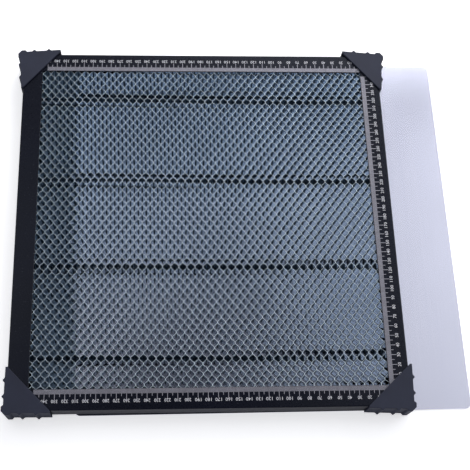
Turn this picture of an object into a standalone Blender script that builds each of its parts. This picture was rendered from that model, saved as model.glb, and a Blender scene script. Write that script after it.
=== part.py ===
"""Honeycomb work bed with a ruled frame, on its loose base plate.

Metres, +Z up, the floor at Z = 0. The origin lies on the floor under the middle of the bed.
+X runs along the front rail to the right and +Y runs from the front rail to the back rail.
"""
from math import atan2, cos, pi, radians, sin, tau

import bmesh
import bpy
from mathutils import Matrix, Vector

# Fits
gap = 0.0003                  # left between pieces that touch

# Frame rails: one section, cut at 45 degrees at both ends
opening = 0.3560              # clear inside size of the frame, square
rail_width = 0.0211
rail_height = 0.0220
rail_wall = 0.0014
chamber_width = 0.0100        # the hollow outer part of the section
rail_edge_radius = 0.0010
lip_edge_radius = 0.0005
arc_steps = 3                 # facets on a rounded edge of the section

# Honeycomb core: corrugated foils along Y, bonded to each other along short flats
cell_width = 0.0252
cell_depth = 0.0322
bond_length = 0.0054
foil = 0.0004                 # a flat where two foils are bonded is twice as thick
straight = 1e-6               # walls whose directions differ by less run straight on

# Bars that carry the core
bar_count = 4
bar_spacing = 0.0955
bar_shift = -0.0029            # of all four, towards the front
bar_width = 0.0050
bar_height = 0.0030

# Screws that hold the bars to the rails' lower lips
screw_radius = 0.0012
screw_head_radius = 0.0024
screw_inset = 0.0045          # from a bar's end to its screw
socket_radius = 0.0009
socket_depth = 0.0010
screw_sides = 12

# Keys that join the mitred rails from inside
key_arm = 0.0280
key_chamfer = 0.0015

# Corner protectors: a pocket over the frame's corner, with ribs on both outer walls
cap_leg = 0.0452              # from the outer corner to the end of each wall
cap_wall = 0.0015
cap_flap = 0.0020
cap_tip = 0.0020              # width of the flaps' ends
cap_edge = 0.0004             # rounding of the upper and lower outline
rib_spacing = 0.0160
rib_count = 2
rib_base = 0.0054
rib_height = 0.0020
rib_facets = 6
pad_length = 0.0062           # raised part beside the outer corner
pad_ramp = 0.0016
pad_chamfer = 0.0040
cap_turns = {                 # each protector sits a little askew, in degrees
    "front_right": -2.2,
    "back_right": -5.2,
    "back_left": 4.2,
    "front_left": -0.7,
}

# Base plate, slid out to the right from under the bed
plate_width = 0.4015
plate_depth = 0.3990
plate_thickness = 0.0010
plate_corner = 0.0060
plate_slide_x = 0.0650
plate_slide_y = 0.0002
plate_turn = 0.25             # degrees
plate_arc_steps = 8

# Levels and edges that follow from the sizes above
frame_half = opening / 2 + rail_width
cap_bottom = plate_thickness + gap
rail_bottom = cap_bottom + cap_flap + gap
rail_top = rail_bottom + rail_height
cap_top = rail_top + gap + cap_flap
bar_bottom = rail_bottom + rail_wall + gap
bar_top = bar_bottom + bar_height
core_bottom = bar_top + gap
core_top = rail_top - rail_wall - gap
channel_half = frame_half - chamber_width - gap

# Colours as linear RGB, with roughness and metallic value
finishes = {
    "powder_coat": ((0.012, 0.012, 0.015), 0.45, 0.0),
    "protector_plastic": ((0.035, 0.038, 0.050), 0.55, 0.0),
    "foil_aluminium": ((0.42, 0.46, 0.52), 0.35, 1.0),
    "bar_paint": ((0.020, 0.022, 0.026), 0.50, 0.0),
    "plate_aluminium": ((0.62, 0.62, 0.72), 0.38, 1.0),
    "key_aluminium": ((0.50, 0.50, 0.52), 0.45, 1.0),
    "zinc_steel": ((0.45, 0.46, 0.48), 0.35, 1.0),
}


def clear_scene():
    for old in list(bpy.data.objects):
        bpy.data.objects.remove(old)


def make_finish(name):
    colour, roughness, metallic = finishes[name]
    material = bpy.data.materials.new(name)
    material.use_nodes = True
    shader = material.node_tree.nodes["Principled BSDF"]
    shader.inputs["Base Color"].default_value = (*colour, 1.0)
    shader.inputs["Roughness"].default_value = roughness
    shader.inputs["Metallic"].default_value = metallic
    return material


def finish_object(name, bm, material=None, smooth_below=None):
    """Turn a bmesh into a named object; round forms are shaded smooth below an angle in degrees."""
    bmesh.ops.recalc_face_normals(bm, faces=bm.faces)
    mesh = bpy.data.meshes.new(name)
    bm.to_mesh(mesh)
    bm.free()
    if smooth_below is not None:
        mesh.shade_smooth()
        mesh.set_sharp_from_angle(angle=radians(smooth_below))
    if material is not None:
        mesh.materials.append(material)
    item = bpy.data.objects.new(name, mesh)
    bpy.context.scene.collection.objects.link(item)
    return item


def cut_with(item, cutter):
    cutter.hide_render = True
    cutter.display_type = "WIRE"
    cut = item.modifiers.new("cut_" + cutter.name, "BOOLEAN")
    cut.operation = "DIFFERENCE"
    cut.solver = "EXACT"
    cut.object = cutter


def loft(rings):
    """Closed body through rings of equal length, with a flat face on the first and the last."""
    bm = bmesh.new()
    rows = [[bm.verts.new(point) for point in ring] for ring in rings]
    for lower, upper in zip(rows, rows[1:]):
        for k in range(len(lower)):
            n = (k + 1) % len(lower)
            bm.faces.new((lower[k], lower[n], upper[n], upper[k]))
    bm.faces.new(list(reversed(rows[0])))
    bm.faces.new(rows[-1])
    return bm


def inset_outline(points, distance):
    """Move a closed counter-clockwise outline inwards by the same distance on every side."""
    moved = []
    for k, point in enumerate(points):
        before = Vector(point) - Vector(points[k - 1])
        after = Vector(points[(k + 1) % len(points)]) - Vector(point)
        n_before = Vector((-before.y, before.x)).normalized()
        n_after = Vector((-after.y, after.x)).normalized()
        shift = (n_before + n_after) * distance / (1 + n_before.dot(n_after))
        moved.append((point[0] + shift.x, point[1] + shift.y))
    return moved


def edged_prism(outline, bottom, top, edge):
    """Upright prism over an outline whose upper and lower edges are broken by a small chamfer."""
    inner = inset_outline(outline, edge)
    levels = [(inner, bottom), (outline, bottom + edge), (outline, top - edge), (inner, top)]
    return loft([[(x, y, z) for x, y in ring] for ring, z in levels])


def arc(x, y, across, up, start, sweep, steps):
    """Points on a circle or ellipse arc about (x, y), from an angle through a sweep."""
    angles = [start + sweep * step / steps for step in range(steps + 1)]
    return [(x + across * cos(angle), y + up * sin(angle)) for angle in angles]


def rounded_rectangle(half_x, half_y, radius, steps):
    """Counter-clockwise outline about the origin."""
    points = []
    for k, (side_x, side_y) in enumerate(((-1, -1), (1, -1), (1, 1), (-1, 1))):
        centre = (side_x * (half_x - radius), side_y * (half_y - radius))
        points += arc(*centre, radius, radius, pi + k * pi / 2, pi / 2, steps)
    return points


# Frame rails

def rail_section():
    """Outer outline and hollow of the rail: distance in from the outer face, and height."""
    r = rail_edge_radius
    t = rail_wall
    h = rail_height
    tip = lip_edge_radius
    lower_lip = arc(rail_width - tip, t / 2, tip, t / 2, -pi / 2, pi, arc_steps)
    upper_lip = arc(rail_width - tip, h - t / 2, tip, t / 2, -pi / 2, pi, arc_steps)
    outer = arc(r, r, r, r, pi, pi / 2, arc_steps)
    outer += lower_lip + [(chamber_width, t), (chamber_width, h - t)] + upper_lip
    outer += arc(r, h - r, r, r, pi / 2, pi / 2, arc_steps)
    hollow = [(t, t), (chamber_width - t, t), (chamber_width - t, h - t), (t, h - t)]
    return outer, hollow


def make_rail(name, quarter_turns, material):
    """Rail along Y with its outer face at +X, turned about Z to its side of the frame.

    Both ends are mitred: each point of the section ends short of the frame's corner by its own
    distance in from the outer face.
    """
    bm = bmesh.new()
    mitre_end = frame_half - gap / 2 ** 0.5
    for loop in rail_section():
        near = [bm.verts.new((frame_half - s, s - mitre_end, rail_bottom + z)) for s, z in loop]
        far = [bm.verts.new((frame_half - s, mitre_end - s, rail_bottom + z)) for s, z in loop]
        for k in range(len(loop)):
            n = (k + 1) % len(loop)
            bm.faces.new((near[k], near[n], far[n], far[k]))
    open_edges = [edge for edge in bm.edges if edge.is_boundary]
    near_edges = [edge for edge in open_edges if edge.verts[0].co.y < 0]
    far_edges = [edge for edge in open_edges if edge.verts[0].co.y > 0]
    for edges in (near_edges, far_edges):
        bmesh.ops.triangle_fill(bm, use_beauty=True, edges=edges)
    rail = finish_object(name, bm, material, smooth_below=50)
    rail.rotation_euler.z = quarter_turns * pi / 2
    return rail


# Corner keys

def make_key(name, quarter_turns, material):
    """L-shaped key in the hollows of two rails, at the corner between +X and +Y."""
    outer = frame_half - rail_wall - gap
    inner = frame_half - chamber_width + rail_wall + gap
    end = outer - key_arm
    c = key_chamfer
    outline = [
        (end, inner + c), (end + c, inner), (inner, inner), (inner, end + c), (inner + c, end),
        (outer - c, end), (outer, end + c), (outer, outer), (end + c, outer), (end, outer - c),
    ]
    bottom = rail_bottom + rail_wall + gap
    top = rail_top - rail_wall - gap
    rings = [[(x, y, z) for x, y in outline] for z in (bottom, top)]
    key = finish_object(name, loft(rings), material)
    key.rotation_euler.z = quarter_turns * pi / 2
    return key


# Support bars and their screws

def bar_positions():
    first = bar_shift - (bar_count - 1) / 2 * bar_spacing
    return [first + k * bar_spacing for k in range(bar_count)]


def make_bar(name, y, material):
    bm = bmesh.new()
    bmesh.ops.create_cube(bm, size=1.0)
    size = Matrix.Diagonal((2 * channel_half, bar_width, bar_height, 1.0))
    bmesh.ops.transform(bm, matrix=size, verts=bm.verts)
    bar = finish_object(name, bm, material)
    bar.location = (0.0, y, (bar_bottom + bar_top) / 2)
    return bar


def turned(profile):
    """Closed turned body from (radius, height, form) rows; a form is "centre", "round" or "hexagon".

    A hexagon has a point on each corner and one on the middle of each side.
    """
    bm = bmesh.new()
    rows = []
    for radius, z, form in profile:
        if form == "centre":
            rows.append([bm.verts.new((0.0, 0.0, z))])
            continue
        ring = []
        for step in range(screw_sides):
            on_side = form == "hexagon" and step % 2
            reach = radius * cos(pi / 6) if on_side else radius
            angle = tau * step / screw_sides
            ring.append(bm.verts.new((reach * cos(angle), reach * sin(angle), z)))
        rows.append(ring)
    for lower, upper in zip(rows, rows[1:]):
        for k in range(screw_sides):
            n = (k + 1) % screw_sides
            corners = [lower[k % len(lower)], lower[n % len(lower)]]
            corners += [upper[n % len(upper)], upper[k % len(upper)]]
            bm.faces.new(list(dict.fromkeys(corners)))
    return bm


def make_screw(name, x, y, material):
    """Countersunk screw, head down and flush with the lip's underside, with a hexagon socket."""
    length = bar_top - rail_bottom - gap
    profile = [
        (0.0, socket_depth, "centre"),
        (socket_radius, socket_depth, "hexagon"),
        (socket_radius, 0.0, "hexagon"),
        (screw_head_radius, 0.0, "round"),
        (screw_radius, rail_wall, "round"),
        (screw_radius, length, "round"),
        (0.0, length, "centre"),
    ]
    screw = finish_object(name, turned(profile), material, smooth_below=40)
    screw.location = (x, y, rail_bottom)
    return screw


def make_screw_hole(name, x, y):
    """Cutter for the countersunk hole through lip and bar, wider than the screw by the gap."""
    head = screw_head_radius + gap
    shank = screw_radius + gap
    length = bar_top - rail_bottom + gap
    profile = [
        (0.0, -gap, "centre"),
        (head, -gap, "round"),
        (head, 0.0, "round"),
        (shank, rail_wall, "round"),
        (shank, length, "round"),
        (0.0, length, "centre"),
    ]
    hole = finish_object(name, turned(profile))
    hole.location = (x, y, rail_bottom)
    return hole


# Corner protectors

def cap_side(along_y):
    """Points of the outer wall with its ribs, from its free end to the chamfer at the corner."""
    face = cap_wall
    points = [(face, cap_wall - cap_leg)]
    for k in range(rib_count, 0, -1):
        centre = cap_wall - k * rib_spacing
        for step in range(rib_facets + 1):
            u = 2 * step / rib_facets - 1
            bell = cos(pi / 2 * u) ** 2
            points.append((face + rib_height * bell, centre + u * rib_base / 2))
    proud = face + rib_height
    points.append((face, cap_wall - pad_length - pad_ramp))
    points.append((proud, cap_wall - pad_length))
    points.append((proud, proud - pad_chamfer))
    return points if along_y else [(y, x) for x, y in reversed(points)]


def make_cap(name, quarter_turns, turn, material):
    """Protector for the corner between +X and +Y, its pocket's corner at the local origin.

    It is turned a little on its corner until one wall's free end meets the frame.
    """
    free_end = cap_wall - cap_leg
    outline = cap_side(True) + cap_side(False)
    outline += [(free_end, cap_wall - cap_tip), (cap_wall - cap_tip, free_end)]
    shell = edged_prism(outline, cap_bottom, cap_top, cap_edge)
    cap = finish_object(name, shell, material, smooth_below=30)

    reach = 2 * cap_leg
    pocket = bmesh.new()
    bmesh.ops.create_cube(pocket, size=1.0)
    height = cap_top - cap_bottom - 2 * cap_flap
    place = Matrix.Translation((-reach / 2, -reach / 2, (cap_top + cap_bottom) / 2))
    shape = place @ Matrix.Diagonal((reach, reach, height, 1.0))
    bmesh.ops.transform(pocket, matrix=shape, verts=pocket.verts)
    cutter = finish_object(name + "_pocket", pocket)

    angle = radians(turn)
    play = (cap_leg - cap_wall) * sin(abs(angle))
    shift = Vector((gap, gap + play, 0.0)) if angle > 0 else Vector((gap + play, gap, 0.0))
    corner = Vector((frame_half, frame_half, 0.0)) + shift
    quarter = Matrix.Rotation(quarter_turns * pi / 2, 4, "Z")
    seat = quarter @ Matrix.Translation(corner) @ Matrix.Rotation(angle, 4, "Z")
    for item in (cap, cutter):
        item.matrix_world = seat
    cut_with(cap, cutter)
    return cap


# Honeycomb core

def lattice_walls():
    """Walls of the pulled-open foils, as two junctions and a thickness.

    A junction is keyed by its column, row and end. Foils run along Y. Neighbours are bonded
    along short flats, so these are twice as thick, and from flat to flat each foil slants to the
    next column.
    """
    columns = int(channel_half / (cell_width / 2)) + 1
    rows = int(channel_half / (cell_depth / 2)) + 1
    walls = []
    for i in range(-columns, columns + 1):
        for j in range(-rows, rows + 1):
            if (i + j) % 2:
                continue
            walls.append(((i, j, -1), (i, j, 1), 2 * foil))
            for side in (-1, 1):
                walls.append(((i, j, 1), (i + side, j + 1, -1), foil))
    return walls


def junction_point(key):
    """Upper or lower end of the flat in column i and row j, where three walls meet."""
    i, j, end = key
    return Vector((i * cell_width / 2, j * cell_depth / 2 + end * bond_length / 2))


def clip_wall(start, end, limit):
    """Part of a wall inside a square of half size limit, as two fractions of it, or None."""
    low, high = 0.0, 1.0
    for axis in (0, 1):
        for side in (-1, 1):
            inside = limit - side * start[axis]
            rate = side * (end[axis] - start[axis])
            if rate > 0:
                high = min(high, inside / rate)
            elif rate < 0:
                low = max(low, inside / rate)
            elif inside < 0:
                return None
    return (low, high) if (high - low) * (end - start).length > 4 * foil else None


def core_graph():
    """Points by junction, and thickness by junction and neighbour, cut square for the channel."""
    points = {}
    walls = {}
    for start_key, end_key, thickness in lattice_walls():
        start, end = junction_point(start_key), junction_point(end_key)
        kept = clip_wall(start, end, channel_half - foil)
        if kept is None:
            continue
        low, high = kept
        a = start_key if low == 0 else (start_key, end_key, "cut")
        b = end_key if high == 1 else (end_key, start_key, "cut")
        points[a] = start.lerp(end, low)
        points[b] = start.lerp(end, high)
        walls.setdefault(a, {})[b] = thickness
        walls.setdefault(b, {})[a] = thickness
    return points, walls


def joined_to_middle(points, walls):
    """The junctions that hang together with the one nearest the middle, in their own order."""
    held = set()
    waiting = [min(points, key=lambda key: points[key].length)]
    while waiting:
        key = waiting.pop()
        if key not in held:
            held.add(key)
            waiting.extend(walls[key])
    return {key: point for key, point in points.items() if key in held}


def junction_corners(ways):
    """Corners round a junction: the walls before and after each one, and its offset.

    ways gives each neighbour's direction and wall thickness. A corner is where the near faces of
    two walls meet. A cut end has two corners, square across its only wall.
    """
    ordered = sorted(ways, key=lambda other: atan2(ways[other][0].y, ways[other][0].x))
    corners = []
    for k, before in enumerate(ordered):
        after = ordered[(k + 1) % len(ordered)]
        (way_before, thick_before), (way_after, thick_after) = ways[before], ways[after]
        left = Vector((-way_before.y, way_before.x)) * thick_before / 2
        turn = way_before.cross(way_after)
        if before == after:
            corners += [(before, None, left), (None, before, -left)]
        elif abs(turn) < straight:
            corners.append((before, after, left))
        else:
            reach = way_before * thick_after + way_after * thick_before
            corners.append((before, after, reach / 2 / turn))
    return corners


def make_core(name, material):
    """One body of upright foils: walls and junctions share the corners between them."""
    every_point, walls = core_graph()
    points = joined_to_middle(every_point, walls)
    bm = bmesh.new()
    left_of = {}
    right_of = {}
    for key, point in points.items():
        ways = {}
        for other, thickness in walls[key].items():
            ways[other] = ((points[other] - point).normalized(), thickness)
        posts = []
        for before, after, offset in junction_corners(ways):
            x, y = point + offset
            post = [bm.verts.new((x, y, z)) for z in (core_bottom, core_top)]
            left_of[key, before] = post
            right_of[key, after] = post
            posts.append(post)
        if len(ways) == 1:
            (low_1, high_1), (low_2, high_2) = posts
            bm.faces.new((low_1, high_1, high_2, low_2))
        if len(ways) > 2:
            for row in zip(*posts):
                bm.faces.new(row)
    order = {key: n for n, key in enumerate(points)}
    for key in points:
        for other in walls[key]:
            if order[key] > order[other]:
                continue
            near_side = (*left_of[key, other], *reversed(right_of[other, key]))
            far_side = (*left_of[other, key], *reversed(right_of[key, other]))
            bm.faces.new(near_side)
            bm.faces.new(far_side)
            bm.faces.new((near_side[0], near_side[3], far_side[0], far_side[3]))
            bm.faces.new((near_side[1], near_side[2], far_side[1], far_side[2]))
    return finish_object(name, bm, material)


# Base plate

def make_plate(name, material):
    outline = rounded_rectangle(plate_width / 2, plate_depth / 2, plate_corner, plate_arc_steps)
    rings = [[(x, y, z) for x, y in outline] for z in (0.0, plate_thickness)]
    plate = finish_object(name, loft(rings), material, smooth_below=30)
    plate.location = (plate_slide_x, plate_slide_y, 0.0)
    plate.rotation_euler.z = radians(plate_turn)
    return plate


def build():
    clear_scene()
    looks = {name: make_finish(name) for name in finishes}
    sides = ("right", "back", "left", "front")
    rails = {side: make_rail("rail_" + side, k, looks["powder_coat"]) for k, side in enumerate(sides)}
    for k, corner in enumerate(("back_right", "back_left", "front_left", "front_right")):
        make_key("corner_key_" + corner, k, looks["key_aluminium"])
        make_cap("corner_cap_" + corner, k, cap_turns[corner], looks["protector_plastic"])
    for k, y in enumerate(bar_positions(), 1):
        bar = make_bar(f"support_bar_{k}", y, looks["bar_paint"])
        for side, x in (("left", screw_inset - channel_half), ("right", channel_half - screw_inset)):
            make_screw(f"bar_screw_{side}_{k}", x, y, looks["zinc_steel"])
            hole = make_screw_hole(f"screw_hole_{side}_{k}", x, y)
            cut_with(bar, hole)
            cut_with(rails[side], hole)
    make_core("honeycomb_core", looks["foil_aluminium"])
    make_plate("base_plate", looks["plate_aluminium"])


build()
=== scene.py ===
# %% [markdown]
# # A honeycomb work bed on its loose base plate
#
# The bed is what a laser cutter's work lies on: an aluminium foil honeycomb in a black ruled
# frame, with plastic protectors on its corners and a thin catch plate under it. The solids come
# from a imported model, so every size is already right. This script gives them their finishes,
# draws the honeycomb at its true pitch, prints the rulers, and sets up the camera and the light.

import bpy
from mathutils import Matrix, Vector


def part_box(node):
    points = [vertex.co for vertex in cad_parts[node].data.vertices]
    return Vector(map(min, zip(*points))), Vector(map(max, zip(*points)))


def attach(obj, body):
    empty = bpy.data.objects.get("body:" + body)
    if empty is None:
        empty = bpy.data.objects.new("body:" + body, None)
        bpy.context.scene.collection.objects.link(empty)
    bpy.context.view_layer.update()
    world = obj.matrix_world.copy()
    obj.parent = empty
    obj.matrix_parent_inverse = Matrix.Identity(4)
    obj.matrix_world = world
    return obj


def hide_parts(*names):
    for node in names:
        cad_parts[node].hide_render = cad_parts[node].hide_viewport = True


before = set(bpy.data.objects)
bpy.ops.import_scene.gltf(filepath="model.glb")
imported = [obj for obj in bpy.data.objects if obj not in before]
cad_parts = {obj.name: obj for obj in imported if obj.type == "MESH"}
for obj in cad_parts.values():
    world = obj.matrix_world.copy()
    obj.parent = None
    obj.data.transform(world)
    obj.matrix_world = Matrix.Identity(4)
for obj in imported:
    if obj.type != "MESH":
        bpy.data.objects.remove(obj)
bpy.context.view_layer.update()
print("pieces in the packed model:", len(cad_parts))

# %% Modules, and the names of the four corners and sides
from math import cos, pi, radians, sin
from random import Random

import bmesh
import bpy
from mathutils import Matrix, Vector

mm = 0.001
sides = ("right", "back", "left", "front")
corners = ("back_right", "back_left", "front_left", "front_right")


# %% [markdown]
# ## The camera
#
# A ruler in a photograph gives its camera away: the camera here was worked out from the marks of
# the three printed rulers, whose real distances are known. It stands in front of the bed, almost
# a metre up, and looks down steeply. The picture was cropped off centre, so the lens is shifted
# a little, which keeps the perspective of the whole picture.

# %% Camera
camera_data = bpy.data.cameras.new("camera")
camera_data.lens = 70.19
camera_data.sensor_width = 36.0
camera_data.shift_x = 0.0646
camera_data.shift_y = -0.0126
camera = bpy.data.objects.new("camera", camera_data)
camera.location = (-0.0547, -0.3556, 0.9219)
camera.rotation_euler = (radians(21.048), radians(-2.851), radians(-1.310))
bpy.context.scene.collection.objects.link(camera)
bpy.context.scene.camera = camera
bpy.context.scene.view_settings.view_transform = "Standard"
print("camera height in metres:", round(camera.location.z, 3))


# %% [markdown]
# ## Helpers for finishes
#
# Colours are easiest to judge as the hex values of a paint program, but a renderer counts light,
# so one function turns them into linear values. A material is a small graph of nodes. One
# function adds a node with its settings and links what feeds it, so that each finish below reads
# as a recipe: what the pattern is, how large it is, and what it changes.

# %% Colour, node and material helpers
def linear(hex_colour):
    """Linear RGBA of an sRGB hex colour such as #8f98a8."""
    values = [int(hex_colour[k:k + 2], 16) / 255 for k in (1, 3, 5)]
    curve = [v / 12.92 if v <= 0.04045 else ((v + 0.055) / 1.055) ** 2.4 for v in values]
    return (*curve, 1.0)


def feed(node, inputs):
    """Set inputs of a node: a value is written in, a node or an output is linked."""
    for name, value in inputs.items():
        if isinstance(value, bpy.types.Node):
            value = next(output for output in value.outputs if output.enabled)
        if isinstance(value, bpy.types.NodeSocket):
            node.id_data.links.new(value, node.inputs[name])
        else:
            node.inputs[name].default_value = value


def add(tree, kind, inputs=None, **settings):
    """Add a node with its settings, and feed its inputs."""
    node = tree.nodes.new(kind)
    for name, value in settings.items():
        setattr(node, name, value)
    feed(node, inputs or {})
    return node


def new_finish(name, **values):
    """A material, its tree, its shader, and the place on the object that patterns are laid by."""
    material = bpy.data.materials.new(name)
    material.use_nodes = True
    tree = material.node_tree
    shader = tree.nodes["Principled BSDF"]
    feed(shader, {label.replace("_", " ").title().replace("Ior", "IOR"): value
                  for label, value in values.items()})
    place = add(tree, "ShaderNodeTexCoord").outputs["Object"]
    return material, tree, shader, place


def dress(name, material):
    """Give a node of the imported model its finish."""
    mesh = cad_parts[name].data
    mesh.materials.clear()
    mesh.materials.append(material)


# %% [markdown]
# ## Rails: matte black powder coat on extruded aluminium
#
# Powder coat is a plastic film that melts into a slightly pebbled skin. It is nearly black, only
# softly shiny, and its pebbles are about a millimetre across and some hundredths deep. Black
# pigments leave the shine a little blue, so the shader's specular tint is blue too. Specks of
# dust and lint always lie on it, which is what the paler dots are.

# %% Powder coat
powder_coat, tree, shader, place = new_finish("powder_coat_black", specular_ior_level=0.25,
                                              specular_tint=(0.80, 0.86, 1.0, 1.0))
pebbles = add(tree, "ShaderNodeTexNoise", {"Vector": place, "Scale": 1 / (0.9 * mm),
                                           "Detail": 3.0})
patches = add(tree, "ShaderNodeTexNoise", {"Vector": place, "Scale": 1 / (60 * mm), "Detail": 2.0})
dots = add(tree, "ShaderNodeTexNoise", {"Vector": place, "Scale": 1 / (1.6 * mm), "Detail": 1.0})
coat = add(tree, "ShaderNodeMix", {0: patches, 6: linear("#050710"), 7: linear("#0c0e1c")},
           data_type="RGBA")
dust = add(tree, "ShaderNodeMapRange", {"Value": dots, "From Min": 0.68, "From Max": 0.80,
                                        "To Min": 0.0, "To Max": 0.5})
dusty = add(tree, "ShaderNodeMix", {0: dust, 6: coat, 7: linear("#4a4c55")}, data_type="RGBA")
shine = add(tree, "ShaderNodeMapRange", {"Value": pebbles, "From Min": 0.35, "From Max": 0.65,
                                         "To Min": 0.26, "To Max": 0.34})
skin = add(tree, "ShaderNodeBump", {"Height": pebbles, "Distance": 0.02 * mm, "Strength": 0.5})
feed(shader, {"Base Color": dusty, "Roughness": shine, "Normal": skin})
for side in sides:
    dress("rail_" + side, powder_coat)
print("rails:", [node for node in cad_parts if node.startswith("rail")])


# %% [markdown]
# ## Corner protectors: moulded ABS with a spark-eroded skin
#
# The mould of such a part is eroded by sparks, so the plastic comes out with a fine even grain,
# about 0.3 mm, which takes the gloss away. The colour is a dark slate with a little blue in it.
# The grain is finer than a pixel of the picture, so it is drawn at 0.6 mm.

# %% Protector plastic
protector_plastic, tree, shader, place = new_finish("moulded_abs_slate", specular_ior_level=0.28)
grain = add(tree, "ShaderNodeTexNoise", {"Vector": place, "Scale": 1 / (0.6 * mm), "Detail": 4.0})
cloud = add(tree, "ShaderNodeTexNoise", {"Vector": place, "Scale": 1 / (25 * mm), "Detail": 2.0})
slate = add(tree, "ShaderNodeMix", {0: cloud, 6: linear("#242735"), 7: linear("#303446")},
            data_type="RGBA")
shine = add(tree, "ShaderNodeMapRange", {"Value": grain, "From Min": 0.35, "From Max": 0.65,
                                         "To Min": 0.54, "To Max": 0.68})
skin = add(tree, "ShaderNodeBump", {"Height": grain, "Distance": 0.03 * mm, "Strength": 0.6})
feed(shader, {"Base Color": slate, "Roughness": shine, "Normal": skin})
for corner in corners:
    dress("corner_cap_" + corner, protector_plastic)
print("protectors dressed:", len(corners))


# %% [markdown]
# ## Base plate: mill-finish aluminium sheet
#
# Sheet leaves the rolling mill with fine lines along the rolling direction. They spread its shine
# across the lines and leave it fairly sharp along them, which a shader calls anisotropy. So the
# plate looks bright from most sides, and still mirrors the dark rail where it lies close to it.
# The real lines are some hundredths of a millimetre wide, which is far below a pixel. So they are
# drawn coarser, as faint streaks 1.5 mm wide and up to 200 mm long.

# %% Plate aluminium
plate_aluminium, tree, shader, place = new_finish("mill_finish_aluminium", metallic=1.0,
                                                  anisotropic=0.4)
along = add(tree, "ShaderNodeMapping", {"Vector": place, "Scale": (1, 1 / 130, 1)})
lines = add(tree, "ShaderNodeTexNoise", {"Vector": along, "Scale": 1 / (1.5 * mm), "Detail": 3.0})
cloud = add(tree, "ShaderNodeTexNoise", {"Vector": place, "Scale": 1 / (90 * mm), "Detail": 1.0})
metal = add(tree, "ShaderNodeMix", {0: lines, 6: linear("#d1d4e7"), 7: linear("#dadced")},
            data_type="RGBA")
shine = add(tree, "ShaderNodeMapRange", {"Value": cloud, "From Min": 0.3, "From Max": 0.7,
                                         "To Min": 0.22, "To Max": 0.26})
rolled = add(tree, "ShaderNodeTangent", direction_type="RADIAL", axis="Y")
skin = add(tree, "ShaderNodeBump", {"Height": lines, "Distance": 0.001 * mm, "Strength": 0.3})
feed(shader, {"Base Color": metal, "Roughness": shine, "Tangent": rolled, "Normal": skin})
dress("base_plate", plate_aluminium)


# %% [markdown]
# ## Bars, screws and keys
#
# The four bars under the honeycomb are flat steel in a matte slate paint, brushed on along them.
# Little light reaches them, so they look nearly black through the cells. Their screws are zinc
# plated, which is a bluish grey metal with a cloudy skin. The keys inside the mitred corners are
# cast aluminium, dull and a little rough; they can't be seen, but a model that is taken apart
# shows them.

# %% Bar paint
bar_paint, tree, shader, place = new_finish("matte_dark_paint", roughness=0.55,
                                            specular_ior_level=0.4)
along = add(tree, "ShaderNodeMapping", {"Vector": place, "Scale": (1 / 12, 1, 1)})
strokes = add(tree, "ShaderNodeTexNoise", {"Vector": along, "Scale": 1 / (2 * mm), "Detail": 3.0})
paint = add(tree, "ShaderNodeMix", {0: strokes, 6: linear("#465060"), 7: linear("#545f71")},
            data_type="RGBA")
skin = add(tree, "ShaderNodeBump", {"Height": strokes, "Distance": 0.02 * mm, "Strength": 0.5})
feed(shader, {"Base Color": paint, "Normal": skin})

# %% Zinc plating
zinc_steel, tree, shader, place = new_finish("zinc_plated_steel", metallic=1.0)
bloom = add(tree, "ShaderNodeTexNoise", {"Vector": place, "Scale": 1 / (0.8 * mm), "Detail": 2.0})
zinc = add(tree, "ShaderNodeMix", {0: bloom, 6: linear("#8f949e"), 7: linear("#cdd1da")},
           data_type="RGBA")
shine = add(tree, "ShaderNodeMapRange", {"Value": bloom, "To Min": 0.2, "To Max": 0.5})
feed(shader, {"Base Color": zinc, "Roughness": shine})

# %% Cast aluminium
key_aluminium, tree, shader, place = new_finish("cast_aluminium", metallic=1.0, roughness=0.5)
sand = add(tree, "ShaderNodeTexNoise", {"Vector": place, "Scale": 1 / (1.2 * mm), "Detail": 4.0})
cast = add(tree, "ShaderNodeMix", {0: sand, 6: linear("#94969b"), 7: linear("#ced0d4")},
           data_type="RGBA")
skin = add(tree, "ShaderNodeBump", {"Height": sand, "Distance": 0.05 * mm, "Strength": 0.6})
feed(shader, {"Base Color": cast, "Normal": skin})

# %% Dress the bars, screws and keys
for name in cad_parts:
    if name.startswith("support_bar"):
        dress(name, bar_paint)
    elif name.startswith("bar_screw"):
        dress(name, zinc_steel)
    elif name.startswith("corner_key"):
        dress(name, key_aluminium)
print("finishes so far:", [material.name for material in bpy.data.materials if material.users])


# %% [markdown]
# ## Foil: rolled aluminium, thinner than paper
#
# The foil's sides are nearly mirrors, faintly ruled by the rolls along the strip and a little
# crinkled from being pulled open. Each wall of a cell mirrors the others, and every bounce takes
# some light away and leaves the rest bluer. The top edge is different: it was cut with a saw, so
# it is bare, burred metal that scatters light to all sides. That is why a honeycomb shows as a
# net of fine pale lines over darker cells. The ruling is finer than a pixel, so it is drawn with
# lines half a millimetre wide.

# %% Foil sides and sawn edge
foil_aluminium, tree, shader, place = new_finish("rolled_aluminium_foil", metallic=1.0)
crinkle = add(tree, "ShaderNodeTexNoise", {"Vector": place, "Scale": 1 / (3 * mm), "Detail": 3.0})
along = add(tree, "ShaderNodeMapping", {"Vector": place, "Scale": (1 / 12, 1 / 12, 1)})
lines = add(tree, "ShaderNodeTexNoise", {"Vector": along, "Scale": 1 / (0.5 * mm), "Detail": 2.0})
stain = add(tree, "ShaderNodeTexNoise", {"Vector": place, "Scale": 1 / (30 * mm), "Detail": 2.0})
bright = add(tree, "ShaderNodeMix", {0: stain, 6: linear("#d7e3ec"), 7: linear("#e6f2f9")},
             data_type="RGBA")
shine = add(tree, "ShaderNodeMapRange", {"Value": lines, "From Min": 0.35, "From Max": 0.65,
                                         "To Min": 0.06, "To Max": 0.12})
skin = add(tree, "ShaderNodeBump", {"Height": crinkle, "Distance": 0.05 * mm, "Strength": 0.3})
feed(shader, {"Base Color": bright, "Roughness": shine, "Normal": skin})

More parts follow.
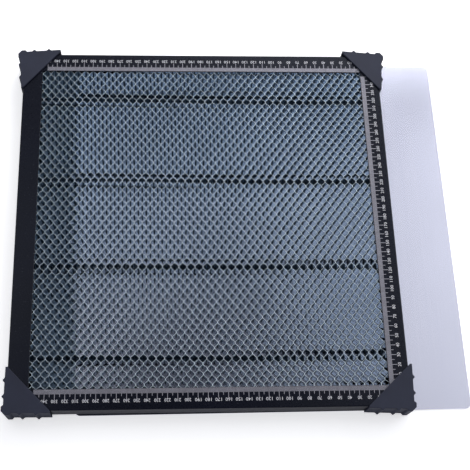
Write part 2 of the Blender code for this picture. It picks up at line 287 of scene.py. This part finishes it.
foil_edge, tree, shader, place = new_finish("sawn_foil_edge", metallic=1.0, roughness=0.8)
burrs = add(tree, "ShaderNodeTexNoise", {"Vector": place, "Scale": 1 / (0.8 * mm), "Detail": 2.0})
bare = add(tree, "ShaderNodeMix", {0: burrs, 6: linear("#d9e8f4"), 7: linear("#f4fcff")},
           data_type="RGBA")
skin = add(tree, "ShaderNodeBump", {"Height": burrs, "Distance": 0.1 * mm, "Strength": 0.6})
feed(shader, {"Base Color": bare, "Normal": skin})
print("foil finishes:", foil_aluminium.name, "and", foil_edge.name)


# %% [markdown]
# ## The honeycomb at its true pitch
#
# Honeycomb is made flat: strips of foil are glued to each other along short lines, then the
# stack is pulled open like a paper garland. So each foil is modelled as what it is, one long
# strip that swings between two neighbouring columns of glue lines. The strips are drawn as thin
# closed bodies; the foil is 0.07 mm in reality and 0.25 mm here, because its top edge is burred
# and would otherwise be too thin to show.
#
# No one pulls a core open evenly. A smooth drift of some millimetres bends the rows, and every
# glue line sits a hair out of place. The strips are made as two meshes, left and right, because
# one would be a very large piece.

# %% Honeycomb sizes
cell_width = 8.39 * mm
cell_depth = 10.74 * mm
glue_length = 1.9 * mm
foil_thickness = 0.25 * mm
glued_pitch = 1.04         # between two glued foils, in thicknesses, so that no faces coincide
bend_reach = 0.6 * mm      # how far from the end of a glue line the foil is already straight
burr = 0.12 * mm
burr_spread = 0.4
core_low, core_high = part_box("honeycomb_core")
core_half = core_high.x
print("core in mm:", round(2 * core_half / mm, 1), "square,",
      round((core_high.z - core_low.z) / mm, 1), "high")

# %% How the core was pulled open: a drift in mm for powers of x and y over half the opening
drift_reach = 178 * mm
drift_x = {(0, 0): -0.58, (0, 1): -0.45, (0, 2): -0.19, (0, 3): -2.62, (1, 0): -0.33,
           (1, 1): 0.38, (1, 2): 1.21, (3, 0): 0.51}
drift_y = {(0, 0): -4.34, (0, 1): 0.30, (0, 2): 0.43, (0, 3): -0.87, (1, 0): -1.58,
           (1, 1): 0.22, (1, 2): -0.49, (2, 0): 0.64, (2, 1): 0.50, (3, 0): 0.72}


def drifted(x, y):
    """Where a point of the even lattice ended up."""
    u, v = x / drift_reach, y / drift_reach
    shift_x = sum(value * u ** i * v ** j for (i, j), value in drift_x.items()) * mm
    shift_y = sum(value * u ** i * v ** j for (i, j), value in drift_y.items()) * mm
    return x + shift_x, y + shift_y


# %% Glue lines: a middle, and half of the line with its lean, for each column and row
luck = Random(11)
place_spread, lean_spread = 0.03, 0.02      # in mm and in radians
columns = int(core_half / (cell_width / 2)) + 3
rows = int(core_half / (cell_depth / 2)) + 3
glue_lines = {}
for i in range(-columns, columns + 1):
    for j in range(-rows, rows + 1):
        x, y = drifted(i * cell_width / 2, j * cell_depth / 2)
        middle = Vector((x + luck.gauss(0, place_spread) * mm,
                         y + luck.gauss(0, place_spread) * mm))
        lean = luck.gauss(0, lean_spread)
        glue_lines[i, j] = (middle, Vector((sin(lean), cos(lean))) * glue_length / 2)
print("places for glue lines:", len(glue_lines))


# %% One foil as a line in the plane
def foil_line(k):
    """Middle line of the foil between columns k and k + 1, with its bends cut off."""
    points = []
    for j in range(-rows, rows + 1):
        on_right = (j + k) % 2 == 0
        middle, half_line = glue_lines[k if on_right else k + 1, j]
        beside = Vector(((0.5 if on_right else -0.5) * foil_thickness * glued_pitch, 0))
        points.append((middle - half_line + beside, middle + half_line + beside))
    eased = []
    for n, (start, end) in enumerate(points):
        along = (end - start).normalized()
        if n:
            eased.append(start + (points[n - 1][1] - start).normalized() * bend_reach)
        eased += [start + along * bend_reach / 2, end - along * bend_reach / 2]
        if n + 1 < len(points):
            eased.append(end + (points[n + 1][0] - end).normalized() * bend_reach)
    return eased


def cut_to_length(line):
    """The part of a foil between the front and the back of the core."""
    kept = []
    for a, b in zip(line, line[1:]):
        ends = sorted(((side - a.y) / (b.y - a.y) for side in (-core_half, core_half)))
        low, high = max(0.0, ends[0]), min(1.0, ends[1])
        if low < high:
            kept += [a.lerp(b, low)] if not kept else []
            kept.append(a.lerp(b, high))
    return kept


# %% The foils that lie in the core; the outermost ones are pressed flat at its sides
pressed_pitch = 1.1        # between two pressed foils, in thicknesses
foil_lines = {k: cut_to_length(foil_line(k)) for k in range(-columns + 1, columns - 1)}
foil_lines = {k: line for k, line in foil_lines.items()
              if sum(abs(p.x) < core_half - foil_thickness for p in line) >= len(line) / 3}
for k, line in foil_lines.items():
    layer = min(k - min(foil_lines), max(foil_lines) - k)
    limit = core_half - (0.5 + pressed_pitch * layer) * foil_thickness
    for point in line:
        point.x = max(-limit, min(limit, point.x))
print("foils:", len(foil_lines))

# %% Make the strips, those left of the middle for one mesh and the others for a second one
halves = {"left": ([], [], []), "right": ([], [], [])}
for k, line in foil_lines.items():
    verts, faces, tops = halves["left" if k < 0 else "right"]
    first = len(verts)
    for n, point in enumerate(line):
        ahead = line[min(n + 1, len(line) - 1)] - line[max(n - 1, 0)]
        across = Vector((ahead.y, -ahead.x)).normalized() * foil_thickness / 2
        top = core_high.z
        if 0 < n < len(line) - 1:
            top -= abs(luck.gauss(0, burr_spread)) * burr
        left, right = point - across, point + across
        verts += [(left.x, left.y, core_low.z), (right.x, right.y, core_low.z),
                  (right.x, right.y, top), (left.x, left.y, top)]
    for n in range(len(line) - 1):
        a, b = first + 4 * n, first + 4 * n + 4
        faces += [(a + s, b + s, b + (s + 1) % 4, a + (s + 1) % 4) for s in range(4)]
        tops += [False, False, True, False]
    last = first + 4 * (len(line) - 1)
    faces += [(first, first + 1, first + 2, first + 3), (last + 3, last + 2, last + 1, last)]
    tops += [False, False]
print("corners of the strips:", [len(verts) for verts, faces, tops in halves.values()])

# %% Two meshes of foils
for half, (verts, faces, tops) in halves.items():
    foil_mesh = bpy.data.meshes.new("honeycomb_foils_" + half)
    foil_mesh.from_pydata(verts, [], faces)
    foil_mesh.shade_smooth()
    foil_mesh.set_sharp_from_angle(angle=radians(40))
    foil_mesh.materials.append(foil_aluminium)
    foil_mesh.materials.append(foil_edge)
    for polygon, is_top in zip(foil_mesh.polygons, tops):
        polygon.material_index = int(is_top)
    foils = bpy.data.objects.new("honeycomb_foils_" + half, foil_mesh)
    bpy.context.scene.collection.objects.link(foils)
    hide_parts("honeycomb_core")
    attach(foils, "root")
    print(foils.name, "triangles:", 2 * len(faces))


# %% [markdown]
# ## Glue fillets in the corners of the cells, darkened as painted shade
#
# Where two foils part, the glue that was squeezed out of their joint fills the corner between
# them. It is drawn as a dark epoxy, so each cell has a dark upright strip in its corners; the
# strip is partly glue and partly painted shade, standing in for the shade that gives the honeycomb
# its look of small dark slits from a step away. The saw tears the glue out near the top, so a
# fillet starts as a point a little below the edge and widens downwards.

# %% Node adhesive, darkened as painted shade
glue_and_painted_shade, tree, shader, place = new_finish("node_adhesive_and_painted_shade", specular_ior_level=0.35)
lumps = add(tree, "ShaderNodeTexNoise", {"Vector": place, "Scale": 1 / (1.2 * mm), "Detail": 3.0})
# Dark slate of the fillets: part glue colour, part painted shade of the cell corners.
glue_and_shade_tone = add(tree, "ShaderNodeMix", {0: lumps, 6: linear("#44586e"), 7: linear("#54697f")},
            data_type="RGBA")
shine = add(tree, "ShaderNodeMapRange", {"Value": lumps, "To Min": 0.35, "To Max": 0.55})
skin = add(tree, "ShaderNodeBump", {"Height": lumps, "Distance": 0.05 * mm, "Strength": 0.5})
feed(shader, {"Base Color": glue_and_shade_tone, "Roughness": shine, "Normal": skin})
print("glue finish:", glue_and_painted_shade.name)

# %% Fillet sizes: reach along the foils, hollow of its face, and how it widens below the edge
fillet_reach = 0.70 * mm
fillet_hollow = 0.08 * mm
fillet_seat = 0.8          # from the bend to the fillet's tip, in foil thicknesses
fillet_levels = ((core_high.z - 1.0 * mm, 0.15), (core_high.z - 4.0 * mm, 1.0),
                 (core_low.z, 1.0))
print("fillet width in mm at each level:",
      [round(2 * fillet_reach * scale / mm, 2) for z, scale in fillet_levels])


# %% Make the fillets
def fillet_outline(corner, left_end, right_end, scale):
    """Corner, both ends on the foils and the hollow middle of the face, counter-clockwise."""
    to_left, to_right = (left_end - corner).normalized(), (right_end - corner).normalized()
    inward = (to_left + to_right).normalized()
    tip = corner + inward * foil_thickness * fillet_seat
    left, right = tip + to_left * fillet_reach * scale, tip + to_right * fillet_reach * scale
    middle = (left + right) / 2 - inward * fillet_hollow * scale
    outline = [tip, left, middle, right]
    turn = (left - tip).cross(right - tip)
    return outline if turn > 0 else [tip, right, middle, left]


verts, faces = [], []
inside = core_half - cell_width / 2
for (i, j), (middle, half_line) in glue_lines.items():
    if (i + j) % 2 or max(abs(middle.x), abs(middle.y)) > inside:
        continue
    for end in (-1, 1):
        neighbours = (i - 1, j + end), (i + 1, j + end)
        if not all(key in glue_lines for key in neighbours):
            continue
        corner = middle + end * half_line
        ends = [glue_lines[key][0] - end * glue_lines[key][1] for key in neighbours]
        first = len(verts)
        for z, scale in fillet_levels:
            verts += [(point.x, point.y, z) for point in fillet_outline(corner, *ends, scale)]
        for level in range(len(fillet_levels) - 1):
            a, b = first + 4 * level, first + 4 * level + 4
            faces += [(a + s, b + s, b + (s + 1) % 4, a + (s + 1) % 4) for s in range(4)]
        faces += [(first, first + 1, first + 2, first + 3), (b + 3, b + 2, b + 1, b)]
# The fillets are dark strips in the cell corners: part glue, part painted shade.
glue_shade_mesh = bpy.data.meshes.new("glue_fillets_painted_shade")
glue_shade_mesh.from_pydata(verts, [], faces)
glue_shade_mesh.materials.append(glue_and_painted_shade)
glue = bpy.data.objects.new("glue_fillets_painted_shade", glue_shade_mesh)
bpy.context.scene.collection.objects.link(glue)
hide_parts("honeycomb_core")
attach(glue, "root")
print("fillet triangles:", sum(len(face) - 2 for face in faces))


# %% [markdown]
# ## The printed rulers
#
# Three rails carry a screen-printed millimetre scale: a short mark for each millimetre, a longer
# one for five and ten, and a number at each ten. Seen from a metre away the millimetre marks
# melt into a grey band, as they do on the real bed, because each mark is half a millimetre wide.
# The marks are in a silver ink, full of aluminium flakes, which looks grey wherever it doesn't
# point at a light. The numbers are in a white one, which looks the same from every side. Ink has
# a thickness, so both are thin closed bodies that stand a little out of the coat.

# %% Silver ink of the marks
ruler_ink, tree, shader, place = new_finish("silver_screen_ink", metallic=0.6)
flakes = add(tree, "ShaderNodeTexNoise", {"Vector": place, "Scale": 1 / (3 * mm), "Detail": 4.0})
silver = add(tree, "ShaderNodeMix", {0: flakes, 6: linear("#9a99a3"), 7: linear("#bcbbc6")},
             data_type="RGBA")
shine = add(tree, "ShaderNodeMapRange", {"Value": flakes, "To Min": 0.4, "To Max": 0.6})
skin = add(tree, "ShaderNodeBump", {"Height": flakes, "Distance": 0.01 * mm, "Strength": 0.4})
feed(shader, {"Base Color": silver, "Roughness": shine, "Normal": skin})

# %% White ink of the numbers
number_ink, tree, shader, place = new_finish("white_screen_ink", specular_ior_level=0.3)
grain = add(tree, "ShaderNodeTexNoise", {"Vector": place, "Scale": 1 / (2 * mm), "Detail": 3.0})
white = add(tree, "ShaderNodeMix", {0: grain, 6: linear("#d4d4dc"), 7: linear("#ececf1")},
            data_type="RGBA")
shine = add(tree, "ShaderNodeMapRange", {"Value": grain, "To Min": 0.45, "To Max": 0.65})
skin = add(tree, "ShaderNodeBump", {"Height": grain, "Distance": 0.01 * mm, "Strength": 0.4})
feed(shader, {"Base Color": white, "Roughness": shine, "Normal": skin})
print("inks:", ruler_ink.name, "and", number_ink.name)

# %% Ruler sizes
ruler_length = 350
ruler_zero = 177.5 * mm
opening_half = 178 * mm
rail_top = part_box("rail_front")[1].z
ink_sink, ink_height = 0.03 * mm, 0.03 * mm
mark_start = 0.4 * mm
mark_ends = {1: 5.1 * mm, 5: 7.8 * mm, 10: 10.3 * mm}
mark_width = 0.5 * mm
number_middles = {"front": 12.1 * mm, "back": 12.6 * mm, "right": 12.5 * mm}
digit_height = 3.3 * mm
digit_pitch = 2.2 * mm
digit_fill = 0.95          # how much of the digits' pitches a number takes up
digit_boldness = 0.002
print("rail top in mm:", round(rail_top / mm, 2))


# %% Marks and numbers of one ruler
def closed_box(bm, corners_xy, bottom, top):
    """Add a thin body over four corners."""
    low = [bm.verts.new((x, y, bottom)) for x, y in corners_xy]
    high = [bm.verts.new((x, y, top)) for x, y in corners_xy]
    for k in range(4):
        n = (k + 1) % 4
        bm.faces.new((low[k], low[n], high[n], high[k]))
    bm.faces.new(list(reversed(low)))
    bm.faces.new(high)


def number_mesh(text):
    """Mesh of a number, centred on the origin, with digits of the ruler's height and pitch."""
    curve = bpy.data.curves.new("number", "FONT")
    curve.body = text
    curve.resolution_u = 2
    curve.align_x = "CENTER"
    curve.align_y = "CENTER"
    curve.extrude = 0.5
    curve.offset = digit_boldness
    item = bpy.data.objects.new("number", curve)
    bpy.context.scene.collection.objects.link(item)
    bpy.context.view_layer.update()
    mesh = bpy.data.meshes.new_from_object(item)
    bpy.data.objects.remove(item)
    bpy.data.curves.remove(curve)
    low = Vector([min(v.co[axis] for v in mesh.vertices) for axis in range(3)])
    high = Vector([max(v.co[axis] for v in mesh.vertices) for axis in range(3)])
    size = high - low
    scale = Vector((len(text) * digit_pitch * digit_fill / size.x, digit_height / size.y,
                    (ink_sink + ink_height) / size.z))
    mesh.transform(Matrix.Diagonal((*scale, 1)) @ Matrix.Translation(-(low + high) / 2))
    return mesh


def print_ruler(side, zero, along, outward, text_turn):
    """Print marks and numbers that start at zero and run along the rail's inner edge."""
    bm = bmesh.new()
    zero, along, outward = Vector(zero), Vector(along), Vector(outward)
    for value in range(ruler_length + 1):
        step = 10 if value % 10 == 0 else 5 if value % 5 == 0 else 1
        middle = zero + along * value * mm
        half = along * mark_width / 2
        near, far = outward * mark_start, outward * mark_ends[step]
        corner_points = [middle - half + near, middle + half + near,
                         middle + half + far, middle - half + far]
        closed_box(bm, [p.to_tuple() for p in corner_points], rail_top - ink_sink,
                   rail_top + ink_height)
    for value in range(10, ruler_length + 1, 10):
        mesh = number_mesh(str(value))
        spot = zero + along * value * mm + outward * number_middles[side]
        place = Matrix.Translation((*spot, rail_top + (ink_height - ink_sink) / 2))
        mesh.transform(place @ Matrix.Rotation(text_turn, 4, "Z"))
        for polygon in mesh.polygons:
            polygon.material_index = 1
        bm.from_mesh(mesh)
        bpy.data.meshes.remove(mesh)
    bmesh.ops.remove_doubles(bm, verts=bm.verts, dist=0.001 * mm)
    bmesh.ops.recalc_face_normals(bm, faces=bm.faces)
    ruler = bpy.data.meshes.new("ruler_print_" + side)
    bm.to_mesh(ruler)
    bm.free()
    ruler.shade_flat()
    ruler.materials.append(ruler_ink)
    ruler.materials.append(number_ink)
    item = bpy.data.objects.new("ruler_print_" + side, ruler)
    bpy.context.scene.collection.objects.link(item)
    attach(item, "root")
    print(item.name, "triangles:", sum(len(p.vertices) - 2 for p in ruler.polygons))


# %% Print the three rulers; the left rail stays bare
print_ruler("back", (ruler_zero, opening_half), (-1, 0), (0, 1), pi)
print_ruler("front", (ruler_zero, -opening_half), (-1, 0), (0, -1), pi)
print_ruler("right", (opening_half, -ruler_zero), (0, 1), (1, 0), pi / 2)


# %% [markdown]
# ## Floor, backdrop and light
#
# The picture has a plain white ground and soft light. A floor that is nearly white gets a little
# light of its own, which only the camera and reflections see, so that it renders white while the
# object's shadow stays on it. Far out it glows more, because the boxes' light doesn't reach there.
# In reflections the glow starts only 30 to 60 mm past the edge of the opening, so the floor
# mirrored
# near the frame is darker: painted shade. Inside the frame's outline the floor is painted a cool
# grey without a glow, which is painted shade under the bed, so it looks dark through the cells
# that have no base plate under them.

# %% Floor sizes: each pair is a band in which the floor changes, as a distance from the middle
reach = 4.0
floor_drop = 0.3 * mm
# Inside this band the floor turns a cool grey without glow: painted shade under the frame.
painted_shade_edge = opening_half + 4 * mm, opening_half + 10 * mm
# Inside this band reflections see the floor without its glow, so it mirrors darker near the frame:
# painted shade.
reflected_shade_edge = opening_half + 30 * mm, opening_half + 60 * mm
far_edge = 0.5, 1.3
floor_glow = 0.55

# %% Floor
floor_mesh = bpy.data.meshes.new("floor")
floor_mesh.from_pydata([(-reach, -reach, 0), (reach, -reach, 0), (reach, reach, 0),
                        (-reach, reach, 0)], [], [(0, 1, 2, 3)])
floor = bpy.data.objects.new("floor", floor_mesh)
floor.location.z = -floor_drop
bpy.context.scene.collection.objects.link(floor)
print("floor in metres:", 2 * reach, "square")

# %% Floor paint
floor_paint, tree, shader, place = new_finish("matte_studio_floor", roughness=0.8,
                                              specular_ior_level=0.2)
positive = add(tree, "ShaderNodeVectorMath", {0: place}, operation="ABSOLUTE")
axes = add(tree, "ShaderNodeSeparateXYZ", {"Vector": positive})
farther = add(tree, "ShaderNodeMath", {0: axes.outputs["X"], 1: axes.outputs["Y"]},
              operation="MAXIMUM")
outside = add(tree, "ShaderNodeMapRange", {"Value": farther, "From Min": painted_shade_edge[0],
                                           "From Max": painted_shade_edge[1]})
# Cool grey inside the frame's outline and nearly white outside it: the grey is painted shade.
ground = add(tree, "ShaderNodeMix", {0: outside, 6: linear("#c8d6ea"), 7: linear("#f2f2f4")},
             data_type="RGBA")
# Reflections see the glow only past this band; the darker floor mirrored near the frame is painted
# shade.
glow_past_reflected_shade = add(tree, "ShaderNodeMapRange", {"Value": farther, "From Min": reflected_shade_edge[0],
                                              "From Max": reflected_shade_edge[1]})
rays = add(tree, "ShaderNodeLightPath")
mirrored = add(tree, "ShaderNodeMath", {0: rays.outputs["Is Glossy Ray"],
                                        1: rays.outputs["Is Transmission Ray"]},
               operation="MAXIMUM")
in_metal = add(tree, "ShaderNodeMath", {0: mirrored, 1: glow_past_reflected_shade}, operation="MULTIPLY")
in_view = add(tree, "ShaderNodeMath", {0: rays.outputs["Is Camera Ray"], 1: outside},
              operation="MULTIPLY")
far_glow = add(tree, "ShaderNodeMapRange", {"Value": farther, "From Min": far_edge[0],
                                            "From Max": far_edge[1],
                                            "To Min": floor_glow, "To Max": 1.0})
seen = add(tree, "ShaderNodeMath", {0: in_view, 1: far_glow}, operation="MULTIPLY")
reflected = add(tree, "ShaderNodeMath", {0: in_metal, 1: floor_glow}, operation="MULTIPLY")
strength = add(tree, "ShaderNodeMath", {0: seen, 1: reflected}, operation="MAXIMUM")
feed(shader, {"Base Color": ground, "Emission Color": (1, 1, 1, 1), "Emission Strength": strength})
floor_mesh.materials.append(floor_paint)

# %% World: a grey room with a dark ceiling, which the camera sees as white
room_grey, ceiling_dark, white_ground = (0.33, 0.34, 0.38, 1), (0.02, 0.02, 0.023, 1), (1, 1, 1, 1)
ceiling_start = 0.72       # height of a direction, from 0 at the horizon to 1 straight up
world = bpy.data.worlds.new("studio")
bpy.context.scene.world = world
world.use_nodes = True
tree = world.node_tree
direction = add(tree, "ShaderNodeTexCoord").outputs["Generated"]
height = add(tree, "ShaderNodeSeparateXYZ", {"Vector": direction}).outputs["Z"]
ceiling = add(tree, "ShaderNodeMapRange", {"Value": height, "From Min": ceiling_start,
                                           "From Max": 1.0})
room = add(tree, "ShaderNodeMix", {0: ceiling, 6: room_grey, 7: ceiling_dark}, data_type="RGBA")
rays = add(tree, "ShaderNodeLightPath")
shown = add(tree, "ShaderNodeMix", {0: rays.outputs["Is Camera Ray"], 6: room, 7: white_ground},
            data_type="RGBA")
feed(tree.nodes["Background"], {"Color": shown})
print("world:", world.name)


# %% [markdown]
# ## Soft boxes
#
# A mirror has no look of its own: it shows what stands where its reflection points. So the boxes
# are placed by reflection. The two high ones stand where the walls of the cells and the plate
# mirror them. The low ones at the back and on the right brighten the ruled bands and the rims of
# the frame, and the front one lifts the shadows a little. All are about a metre wide, so that no
# shadow gets a hard edge.

# %% Soft boxes: width in metres, power in watts and place of each
soft_boxes = {"right_box": (1.1, 8.5, (1.5, 0.55, 0.95)),
              "back_box": (1.1, 18, (0.35, 1.5, 0.95)),
              "front_box": (1.2, 3, (-1.1, -0.9, 1.3)),
              "high_right_box": (1.1, 2.75, (0.78, 0.30, 1.3)),
              "high_left_box": (0.9, 2.3, (-0.72, 0.34, 1.3))}


def soft_box(name, width, power, location):
    """Square area light that looks at the middle of the bed."""
    light = bpy.data.lights.new(name, "AREA")
    light.size = width
    light.energy = power
    item = bpy.data.objects.new(name, light)
    item.location = location
    item.rotation_euler = (-Vector(location)).to_track_quat("-Z", "Y").to_euler()
    bpy.context.scene.collection.objects.link(item)
    print(name, "watts:", power)


for name, (width, power, location) in soft_boxes.items():
    soft_box(name, width, power, location)
